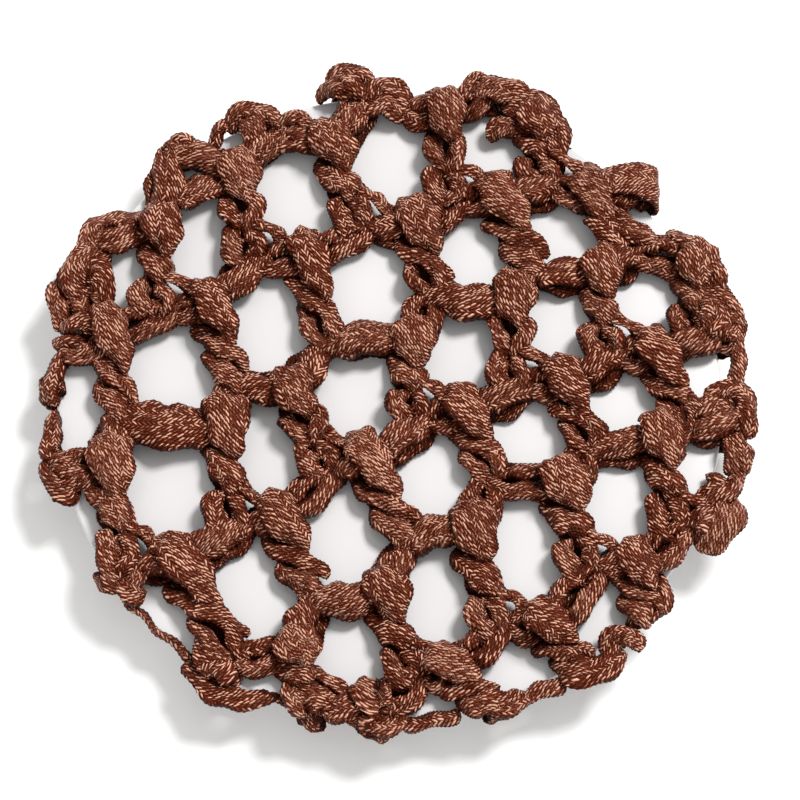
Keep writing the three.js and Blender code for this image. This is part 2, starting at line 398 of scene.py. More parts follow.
def makeYarn():
    material, nodes, links, shader = newMaterial("brown knitted tape")

    def readAttribute(label):
        node = nodes.new("ShaderNodeAttribute")
        node.attribute_name = label
        return node.outputs["Fac"]

    def do(operation, *inputs):
        return mathNode(nodes, links, operation, *inputs)

    coordinates = nodes.new("ShaderNodeTexCoord")
    stray = nodes.new("ShaderNodeTexNoise")
    stray.inputs["Scale"].default_value = 1 / (yarnLook["warpPitch"] * mm)
    stray.inputs["Detail"].default_value = 1
    links.new(coordinates.outputs["Object"], stray.inputs["Vector"])
    apart = nodes.new("ShaderNodeSeparateColor")
    links.new(stray.outputs["Color"], apart.inputs[0])
    column = do("DIVIDE", readAttribute("tapeAcross"), yarnLook["columnPitch"])
    column = do("ADD", column, do("MULTIPLY", apart.outputs[0], yarnLook["warp"]))
    row = do("DIVIDE", readAttribute("tapeAlong"), yarnLook["rowPitch"])
    row = do("ADD", row, do("MULTIPLY", apart.outputs[1], yarnLook["warp"]))
    part = do("FRACT", column)
    place = nodes.new("ShaderNodeCombineXYZ")
    links.new(do("FLOOR", column), place.inputs[0])
    links.new(readAttribute("tapeTone"), place.inputs[1])
    step = nodes.new("ShaderNodeTexWhiteNoise")
    links.new(place.outputs[0], step.inputs["Vector"])
    row = do("ADD", row, do("MULTIPLY", step.outputs["Value"], yarnLook["shift"]))
    leftward = do("LESS_THAN", step.outputs["Value"], yarnLook["leftLeaning"])
    lean = do("MULTIPLY", do("SUBTRACT", do("MULTIPLY", leftward, 2.0), 1.0), yarnLook["slant"])
    slanted = do("ADD", row, do("MULTIPLY", part, lean))
    acrossLeg = do("SINE", do("MULTIPLY", do("FRACT", slanted), math.pi))
    clear = yarnLook["legClear"]
    alongLeg = do("SINE", do("MULTIPLY", do("ADD", do("MULTIPLY", part, 1 - 2 * clear), clear), math.pi))
    leg = do("MULTIPLY", do("POWER", acrossLeg, yarnLook["legSharp"]),
             do("POWER", alongLeg, yarnLook["legEnds"]))

    cell = nodes.new("ShaderNodeCombineXYZ")
    links.new(do("FLOOR", column), cell.inputs[0])
    links.new(do("FLOOR", slanted), cell.inputs[1])
    links.new(readAttribute("tapeTone"), cell.inputs[2])
    chance = nodes.new("ShaderNodeTexWhiteNoise")
    links.new(cell.outputs[0], chance.inputs["Vector"])

    # Painted shade in the gaps between the legs and painted highlights on their crests
    ramp = nodes.new("ShaderNodeValToRGB")
    stops = ramp.color_ramp.elements
    ends = (yarnLook["shades"][0], yarnLook["shades"][-1])
    for stop, (position, tint) in zip(stops, ends):
        stop.position = position
        stop.color = (*tint, 1)
    for position, tint in yarnLook["shades"][1:-1]:
        stops.new(position).color = (*tint, 1)
    # Painted glints: a random share of the legs is painted brighter, with uneven painted sheen over them
    bright = do("MULTIPLY", do("POWER", chance.outputs["Value"], yarnLook["glintRare"]), yarnLook["glint"])
    fibres = nodes.new("ShaderNodeTexNoise")
    fibres.inputs["Scale"].default_value = 1 / (yarnLook["fleckPitch"] * mm)
    fibres.inputs["Detail"].default_value = 2
    links.new(coordinates.outputs["Object"], fibres.inputs["Vector"])
    sheen = do("ADD", do("MULTIPLY", do("SUBTRACT", fibres.outputs[0], 0.5), yarnLook["fleck"]), 1.0)
    lit = do("MULTIPLY", do("MULTIPLY", leg, do("ADD", bright, yarnLook["legLight"])), sheen)
    lit = do("ADD", lit, yarnLook["gapLight"])
    tones = yarnLook["tapeTones"]
    whole = do("ADD", do("MULTIPLY", readAttribute("tapeTone"), tones), 1 - tones * yarnLook["middleTone"])
    # Painted shade of the tapes' undersides, edges and hollows darkens the colour
    lit = do("MULTIPLY", do("MULTIPLY", lit, whole), readAttribute("tapeShade"))
    links.new(lit, ramp.inputs[0])
    links.new(ramp.outputs[0], shader.inputs["Base Color"])

    bump = nodes.new("ShaderNodeBump")
    bump.inputs["Strength"].default_value = 1.0
    bump.inputs["Distance"].default_value = yarnLook["bumpHeight"] * mm
    links.new(leg, bump.inputs["Height"])
    links.new(bump.outputs[0], shader.inputs["Normal"])
    shader.inputs["Roughness"].default_value = yarnLook["roughness"]
    shader.inputs["Specular IOR Level"].default_value = yarnLook["specular"]
    shader.inputs["Specular Tint"].default_value = (*yarnLook["specularTint"], 1)
    return material


yarn = makeYarn()


plasticLook = {
    "tints": [(0.68, 0.655, 0.655), (0.72, 0.70, 0.70)],
    "ripplesPerMetre": 60,  # faint waves in the moulded face
    "rippleStrength": 0.08,
    "rippleHeight": 0.3,
    "roughness": 0.22,
}


def makeDiscPlastic():
    material, nodes, links, shader = newMaterial("glossy white plastic")
    coordinates = nodes.new("ShaderNodeTexCoord")
    ripple = nodes.new("ShaderNodeTexNoise")
    ripple.inputs["Scale"].default_value = plasticLook["ripplesPerMetre"]
    links.new(coordinates.outputs["Object"], ripple.inputs["Vector"])
    bump = nodes.new("ShaderNodeBump")
    bump.inputs["Strength"].default_value = plasticLook["rippleStrength"]
    bump.inputs["Distance"].default_value = plasticLook["rippleHeight"] * mm
    links.new(ripple.outputs[0], bump.inputs["Height"])
    links.new(bump.outputs[0], shader.inputs["Normal"])
    tint = nodes.new("ShaderNodeValToRGB")
    for stop, colour in zip(tint.color_ramp.elements, plasticLook["tints"]):
        stop.color = (*colour, 1)
    links.new(ripple.outputs[0], tint.inputs[0])
    links.new(tint.outputs[0], shader.inputs["Base Color"])
    shader.inputs["Roughness"].default_value = plasticLook["roughness"]
    return material


discPlastic = makeDiscPlastic()


elasticClothLook = {
    "tints": [(0.020, 0.008, 0.005), (0.075, 0.030, 0.020)],
    "weavePerMetre": 900,
    "bumpHeight": 0.2,
    "roughness": 0.8,
}


def makeElasticCloth():
    material, nodes, links, shader = newMaterial("dark covered elastic")
    coordinates = nodes.new("ShaderNodeTexCoord")
    weave = nodes.new("ShaderNodeTexNoise")
    weave.inputs["Scale"].default_value = elasticClothLook["weavePerMetre"]
    links.new(coordinates.outputs["Object"], weave.inputs["Vector"])
    tint = nodes.new("ShaderNodeValToRGB")
    for stop, colour in zip(tint.color_ramp.elements, elasticClothLook["tints"]):
        stop.color = (*colour, 1)
    links.new(weave.outputs[0], tint.inputs[0])
    links.new(tint.outputs[0], shader.inputs["Base Color"])
    bump = nodes.new("ShaderNodeBump")
    bump.inputs["Distance"].default_value = elasticClothLook["bumpHeight"] * mm
    links.new(weave.outputs[0], bump.inputs["Height"])
    links.new(bump.outputs[0], shader.inputs["Normal"])
    shader.inputs["Roughness"].default_value = elasticClothLook["roughness"]
    return material


elasticCloth = makeElasticCloth()
print("materials ready")


# Display disc, with a softened edge

discShape = {
    "sides": 160,
    "softEdge": 0.4,
    "softSteps": 4,
    "sharpFrom": 30,      # degrees between faces that stay a crease
}


def makeDisc():
    bpy.ops.object.select_all(action="DESELECT")
    thickness = (discTop - discBase) * mm
    bpy.ops.mesh.primitive_cylinder_add(
        vertices=discShape["sides"], radius=discRadius * mm, depth=thickness,
        location=(discCentre.x * mm, discCentre.y * mm, (discTop + discBase) / 2 * mm))
    disc = bpy.context.object
    disc.name = "white_disc"
    bpy.ops.object.transform_apply(location=True)
    bevel = disc.modifiers.new("soft edge", "BEVEL")
    bevel.width = discShape["softEdge"] * mm
    bevel.segments = discShape["softSteps"]
    bevel.limit_method = "ANGLE"
    bpy.ops.object.modifier_apply(modifier=bevel.name)
    bpy.ops.object.shade_smooth_by_angle(angle=math.radians(discShape["sharpFrom"]))
    disc.data.materials.append(discPlastic)
    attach(disc, "root")
    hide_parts("display_disc")


makeDisc()
print("disc ready")


# Stitches of the net

stitch = {
    "frontShift": 3.0,    # how far left of its foot hole a front post comes down
    "backShift": 0.1,
    "fatLinks": 0.45,     # share of the chain links that lie closed and fat
    "nearPlace": 2.6,     # how near a link has to be to a place listed for it
    "openKnots": 0.34,    # share of the stitches whose second loop shows a dark middle
}


def wobble(amount):
    return rng.uniform(-amount, amount)


class PostFrame:
    # Places along one tall stitch: a share of the way from its top to its foot, millimetres beside it (right
    # is positive), the height above the disc, and millimetres further along

    def __init__(self, top, foot, shift):
        self.start, self.hole = chartPoint(top, 0), chartPoint(foot, 0)
        end = self.hole + Vector((-shift, 0, 0))
        self.length = (end - self.start).length
        self.down = (end - self.start).normalized()
        self.right = Vector((0, 0, 1)).cross(self.down)

    def at(self, share, beside, height, along=0):
        return (self.start + self.down * (share * self.length + along) + self.right * beside
                + Vector((0, 0, height)))

    def by(self, x, y, height):
        return self.hole + Vector((x, y, height))


def layFrontPost(piece, top, foot, width):
    # A leaf-shaped loop over the chain, a second one out from under its left side, a knot round a small
    # pocket, and a strand that passes the hole at the foot
    post = PostFrame(top, foot, stitch["frontShift"])
    at, by = post.at, post.by
    lift, lean = wobble(0.3), wobble(0.3)
    piece.lay(
        [at(0, -0.3, 0.9, -2.2), at(0, -0.2, 2.6, -3.0), at(0, 0, 4.3 + lift, -1.8),
         at(0, 0, 4.9 + lift, 0.2), at(0.24, 0.3 + lean, 4.7 + lift), at(0.40, 0.6 + lean, 4.0),
         at(0.52, 0.9 + lean, 2.8)],
        [width * 0.6, width * 0.80, width * 0.96, width * 1.02, width * 0.90, width * 0.60, 1.4],
        [1.3, 1.6, 1.8, 1.8, 1.7, 1.5, 1.0], cup=0.9, side=-post.right, rolls=[0, 0, 0, 0, -4, -8, -8])
    if rng.random() < stitch["openKnots"]:
        piece.lay([at(0.24, -0.36 * width, 0.9), at(0.38, -0.34 * width, 2.0), at(0.54, -0.30 * width, 2.9),
                   at(0.70, -0.20 * width, 2.9), at(0.84, 0.2, 1.8)],
                  [1.8, 2.7, 2.9, 2.7, 1.6], [1.1, 1.4, 1.6, 1.4, 1.1], cup=0.4, rolls=[20, 20, 15, 10, 0])
        piece.lay([at(0.34, 0.10 * width, 2.2), at(0.48, 0.26 * width, 3.3), at(0.64, 0.26 * width, 3.4),
                   at(0.80, 0.08 * width, 2.6), at(0.90, -0.1, 1.6)],
                  [1.8, 2.6, 2.9, 2.7, 1.8], [1.1, 1.4, 1.6, 1.4, 1.1], cup=0.4, rolls=[-10, -20, -15, 0, 0])
    else:
        piece.lay([at(0.20, -0.42 * width, 0.9), at(0.33, -0.36 * width, 1.8), at(0.48, -0.16 * width, 2.8),
                   at(0.66, 0.02 * width, 3.5), at(0.80, 0.08 * width, 3.0), at(0.90, 0.12 * width, 1.8)],
                  [1.8, width * 0.46, width * 0.66, width * 0.70, width * 0.48, 1.4],
                  [1.1, 1.4, 1.6, 1.7, 1.5, 1.1], cup=0.8, rolls=[20, 16, 8, 0, -6, -6])
    spread = wobble(0.25)
    piece.lay([at(0.78, -0.9, 1.4), at(0.90, -1.7 + spread, 2.6), at(1.07, -1.9 + spread, 3.1),
               at(1.25, -1.4 + spread, 2.7), at(1.42, -0.2, 1.5)],
              [2.1, 3.0, 3.4 + wobble(0.3), 3.1, 1.9], [1.1, 1.5, 1.7, 1.5, 1.1], cup=0.5,
              rolls=[10, 16, 14 + wobble(10), 6, 0])
    piece.lay([at(0.84, -0.2, 1.6), at(0.95, 0.8, 2.8), at(1.08, 1.4, 2.7), at(1.24, 1.1, 2.0),
               at(1.40, 0.0, 1.1)],
              [1.8, 2.7, 2.9 + wobble(0.3), 2.6, 1.8], [1.1, 1.4, 1.5, 1.4, 1.1], cup=0.3,
              rolls=[0, -15, -20 + wobble(10), -10, 0])
    piece.lay([at(0.86, -0.6, 0.7), at(1.04, -0.3, 0.9), at(1.22, -0.2, 0.8), at(1.36, 0, 0.6)],
              [2.6, 3.8, 3.6, 2.2], 1.1, cup=0.2)
    piece.lay([at(0.10, -0.14 * width, 0.7), at(0.34, -0.16 * width, 1.1), at(0.62, -0.06 * width, 1.1),
               at(0.90, -0.2, 0.7)], [2.6, width * 0.62, width * 0.66, 2.4], 1.1, cup=0.2)
    piece.lay(
        [at(0.52, 0.20 * width, 1.8), by(-1.2, 2.7, 2.6), by(0.6, 1.4, 2.8), by(2.1, 0.1, 2.4),
         by(3.3, -0.9, 1.6)],
        [1.8, 2.1, 2.1, 2.2, 2.2], 1.3, cup=0.1, rolls=[0, 25, 25, 10, 0])


def layBackPost(piece, top, foot, width):
    # A leaf-shaped loop that leans over to the right, a band that crosses below it from the left, and a
    # thick twisted foot
    post = PostFrame(top, foot, stitch["backShift"])
    at = post.at
    lift, lean = wobble(0.3), wobble(0.3)
    piece.lay(
        [at(0, -0.5, 0.9, -2.4), at(0, -0.4, 2.6, -3.2), at(0, -0.2, 4.1 + lift, -2.0),
         at(0, 0, 4.8 + lift, 0.2), at(0.26, 0.5 + lean, 4.7 + lift), at(0.44, 1.0 + lean, 4.1),
         at(0.60, 1.6 + lean, 3.0)],
        [width * 0.58, width * 0.76, width * 0.90, width * 0.94, width * 0.84, width * 0.58, 1.3],
        [1.3, 1.6, 1.8, 1.8, 1.7, 1.5, 1.0], cup=0.8, side=-post.right, rolls=[0, 0, 0, 0, -4, -8, -8])
    piece.lay(
        [at(0.16, -0.50 * width, 0.9), at(0.30, -0.42 * width, 1.8), at(0.46, -0.22 * width, 2.6),
         at(0.62, 0.06 * width, 3.1), at(0.78, 0.30 * width, 2.9), at(0.92, 0.48 * width, 1.9)],
        [1.6, 2.6, 3.0, 3.0, 2.5, 1.7], [1.1, 1.4, 1.5, 1.5, 1.3, 1.1], cup=0.4,
        rolls=[20, 18, 12, 0, -10, -10])
    if rng.random() < stitch["openKnots"]:
        piece.lay([at(0.50, -0.32 * width, 1.0), at(0.66, -0.34 * width, 2.2), at(0.84, -0.30 * width, 2.8),
                   at(1.02, -0.16 * width, 2.4), at(1.14, 0.1, 1.3)],
                  [1.8, 2.4, 2.6, 2.5, 1.8], [1.1, 1.4, 1.5, 1.4, 1.1], cup=0.3, rolls=[16, 18, 14, 6, 0])
        piece.lay([at(0.62, 0.04 * width, 2.2), at(0.78, 0.20 * width, 3.2), at(0.94, 0.20 * width, 2.9),
                   at(1.08, 0.08 * width, 2.0), at(1.18, -0.2, 1.2)],
                  [1.8, 2.4, 2.6, 2.4, 1.8], [1.1, 1.4, 1.5, 1.4, 1.1], cup=0.3, rolls=[-10, -16, -14, -4, 0])
    else:
        piece.lay([at(0.50, -0.34 * width, 0.9), at(0.66, -0.30 * width, 2.1), at(0.84, -0.14 * width, 3.0),
                   at(1.02, 0.04 * width, 3.0), at(1.20, 0.12 * width, 1.8)],
                  [1.8, width * 0.54, width * 0.68, width * 0.60, 2.0], [1.1, 1.4, 1.7, 1.6, 1.2], cup=0.7,
                  rolls=[16, 10, 4, -6, -10])
    piece.lay([at(0.10, -0.16 * width, 0.7), at(0.36, -0.12 * width, 1.1), at(0.68, -0.04 * width, 1.1),
               at(1.06, 0, 0.7)], [2.6, width * 0.62, width * 0.60, 2.2], 1.1, cup=0.2)


# Links that lie as one broad tape: the middle, in hundredths of the disc's radius, the width, and how far
# to the right of the run the tape bulges
broadLinks = [
    ((-66, -10), 7.2, 1.2),
    ((26, 32), 5.6, 1.2),
    ((-12, -64), 5.4, 1.2),
    ((-6, 17), 5.6, -1.0),
    ((15, -43), 5.2, -0.7),
]


def layLink(piece, a, b):
    # A chain stitch: one broad tape, one fat closed loop with a strand beside it, or two legs that spread
    # round a dark middle
    run = b - a
    level = Vector((run.x, run.y, 0))
    right = level.normalized().cross(Vector((0, 0, 1)))
    spread = 1.5 + wobble(0.25)

    def at(share, beside, height):
        return a + run * share + right * beside + Vector((0, 0, height))

    middle = (a + b) / 2
    broad = [(width, bulge) for place, width, bulge in broadLinks
             if (chartPoint(place, middle.z - discTop) - middle).length < stitch["nearPlace"]]
    if broad:
        width, bulge = broad[0]
        piece.lay([at(-0.16, 0.2, -0.2), at(0.10, 0.4 * bulge, 0.8), at(0.45, bulge, 1.7),
                   at(0.80, 0.7 * bulge, 1.2), at(1.12, 0.1, -0.2)],
                  [2.4, width * 0.82, width, width * 0.84, 2.4], [1.4, 2.2, 2.6, 2.2, 1.4],
                  cup=0.9, rolls=[0, wobble(8), wobble(8), wobble(8), 0])
    elif rng.random() < stitch["fatLinks"]:
        turned = wobble(25)
        piece.lay([at(-0.12, 0.2, -0.2), at(0.15, wobble(0.3), 0.5), at(0.50, wobble(0.3), 1.0),
                   at(0.85, wobble(0.3), 0.4), at(1.10, 0.1, -0.3)],
                  [2.2, 3.8, 4.6 + wobble(0.4), 3.8, 2.2], [1.4, 2.1, 2.4, 2.1, 1.4],
                  cup=0.6, rolls=[turned * 0.4, turned, turned, -turned * 0.5, 0])
        far = 2.1 * (1 if rng.random() < 0.5 else -1)
        piece.lay([at(-0.05, far * 0.4, -0.8), at(0.35, far, -0.7), at(0.70, far, -0.8),
                   at(1.05, far * 0.3, -0.9)],
                  [1.8, 2.0, 2.0, 1.7], 1.3, cup=0.1, rolls=[0, wobble(20), wobble(20), 0])
    else:
        piece.lay([at(-0.10, 0.2, -0.2), at(0.20, spread, 0.4), at(0.62, spread + 0.1, 0.5),
                   at(1.06, 0.2, -0.3)],
                  [2.0, 2.6 + wobble(0.3), 2.8, 2.2], [1.4, 1.8, 1.8, 1.4],
                  cup=0.3, rolls=[0, -15 + wobble(10), -10, 0])
        piece.lay([at(-0.10, -0.3, 0.0), at(0.30, -spread, 0.5), at(0.70, -spread, 0.4),
                   at(1.08, -0.3, -0.2)],
                  [2.2, 2.8 + wobble(0.3), 2.6, 2.0], [1.4, 1.8, 1.8, 1.4],
                  cup=0.3, rolls=[0, 15 + wobble(10), 10, 0])
    piece.lay([at(-0.1, 0, -0.9), at(0.5, wobble(0.4), -0.9), at(1.1, 0, -0.9)], [2.0, 2.4, 2.0], 1.2,
              cup=0.1)


# Heights of the chain above the disc, in millimetres, where it passes a foot and where a stitch hooks on
footHeight = 1.9
hookedHeight = 1.4
netPieces = []


def layRow(name, row, nextTops):
    piece = TapePiece(name + "_tapes")
    stops = [(chartPoint(place, footHeight) - Vector((0.2, row["drop"], 0))) for place in row["feet"]]
    stops += [chartPoint(place, hookedHeight) - Vector((0, 0.5, 0)) for place in nextTops]
    stops.sort(key=lambda stop: stop.x)
    stops = [chartPoint(row["from"], footHeight)] + stops + [chartPoint(row["to"], footHeight)]
    for number, (a, b) in enumerate(zip(stops, stops[1:])):
        if number not in row.get("openLinks", []):
            layLink(piece, a, b)
    layPost = layFrontPost if row["front"] else layBackPost
    for number, (top, foot, width) in enumerate(zip(row["tops"], row["feet"], row["widths"])):
        if number not in row.get("openPosts", []):
            layPost(piece, top, foot, width)
    netPieces.append((piece, name))


rowNames = list(stitchChart)
for index, name in enumerate(rowNames):
    following = stitchChart[rowNames[index + 1]]["tops"] if index + 1 < len(rowNames) else []
    layRow(name, stitchChart[name], following)
print("net rows laid")


# Last round: loops over the rim, single tapes that lie along it, and the gathers on the elastic

# A loop's place in degrees from +X, how far out it reaches in disc radii, and its share of the usual width
rimWraps = [
    (11, 1.07, 1.0), (25, 1.06, 1.3), (39.5, 1.035, 0.75), (62, 1.05, 1.3), (72, 1.07, 0.9),
    (82, 1.05, 0.8), (97, 1.06, 1.2), (115, 1.05, 1.1), (130, 1.06, 1.2), (147, 1.05, 1.1),
    (160, 1.06, 1.1), (178, 1.06, 1.2), (195, 1.06, 1.2), (214, 1.05, 0.9), (239, 1.05, 1.1),
    (257, 1.06, 1.0), (268, 1.07, 1.0), (288, 1.06, 1.0), (304, 1.06, 1.1), (320, 1.06, 1.0),
    (338, 1.08, 1.4), (354, 1.08, 1.1),
]
